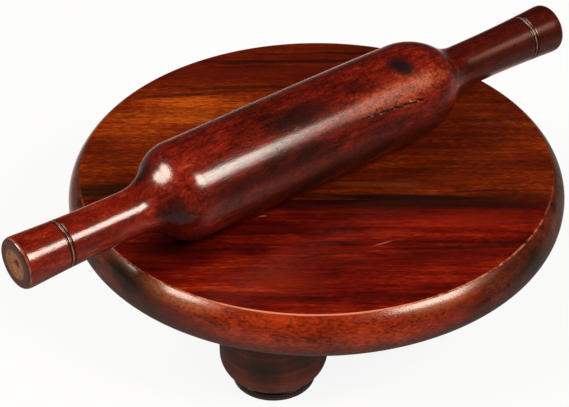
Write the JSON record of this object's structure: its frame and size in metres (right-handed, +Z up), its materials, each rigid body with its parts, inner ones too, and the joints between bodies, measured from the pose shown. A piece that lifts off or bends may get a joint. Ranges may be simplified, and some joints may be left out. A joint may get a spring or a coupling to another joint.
{
  "type": "footed round rolling board with rolling pin",
  "caption": "Thick round wooden board on turned legs for rolling out flatbread, with a one-piece turned rolling pin lying loose across its flat face.",
  "frame": {"origin": "on the ground, in the plane of the undersides of the three foot pads, on the round board's own axis", "axes": "+Z up, along the board's axis, out of its flat rolling face; +X along the grain and the seam of the board's planks, to the right when the board is seen from the front; +Y to the rear, so the front leg and the narrower front plank are towards -Y"},
  "size_m": [0.263, 0.24, 0.1117],
  "materials": {
    "rear_plank": "clear gloss lacquer over golden brown hardwood",
    "front_plank": "clear gloss lacquer over deep red-brown hardwood",
    "dowel": "bare pale wood, hidden inside the board",
    "leg": "clear gloss lacquer over dark red-brown hardwood",
    "foot_pad": "matt dark grey",
    "rolling_pin": "clear gloss lacquer over red-brown hardwood, bare end grain in the middle of the end faces"
  },
  "bodies": {
    "board": {"rear_plank": "rear_plank", "front_plank": "front_plank", "seam_dowel_left": "dowel", "seam_dowel_middle": "dowel", "seam_dowel_right": "dowel", "leg_front": "leg", "leg_right": "leg", "leg_left": "leg", "foot_pad_front": "foot_pad", "foot_pad_right": "foot_pad", "foot_pad_left": "foot_pad"},
    "pin": {"rolling_pin": "rolling_pin"}
  },
  "joints": [
    {"name": "pin_lift", "type": "slide", "parent": "board", "child": "pin", "axis": [0, 0, 1], "range_m": [0, 0.15]}
  ]
}
